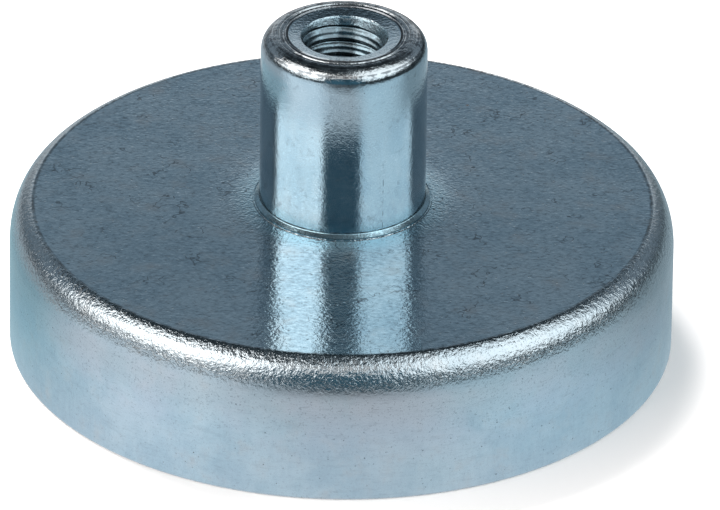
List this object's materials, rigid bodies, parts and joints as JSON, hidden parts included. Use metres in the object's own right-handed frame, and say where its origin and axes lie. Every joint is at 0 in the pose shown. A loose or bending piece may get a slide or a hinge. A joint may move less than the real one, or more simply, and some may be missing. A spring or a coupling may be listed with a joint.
{
  "type": "threaded-bush pot magnet",
  "caption": "Shallow round pot magnet in zinc-plated drawn steel, with a ferrite ring inside and a central bush whose threaded mouth takes an eyebolt or a stud.",
  "frame": {"origin": "centre of the pole face, on the plane that the magnet clings with", "axes": "+Z along the bush's axis, out of its threaded mouth; the part is round, so +X and +Y are any two perpendicular directions"},
  "size_m": [0.0508, 0.0508, 0.0261],
  "materials": {
    "zinc_plated_steel": "blue-passivated zinc plate on drawn steel, satin, slight orange peel",
    "zinc_plated_bush": "blue-passivated zinc plate on turned steel, semi-bright",
    "hard_ferrite": "ground, matt, dark grey",
    "epoxy_adhesive": "clear amber, set",
    "potting_resin": "black, semi-gloss, hollowed by shrinkage"
  },
  "bodies": {
    "root": {"pot": "zinc_plated_steel", "threaded_bush": "zinc_plated_bush", "ring_magnet": "hard_ferrite", "magnet_adhesive": "epoxy_adhesive", "gap_resin": "potting_resin"}
  },
  "joints": []
}
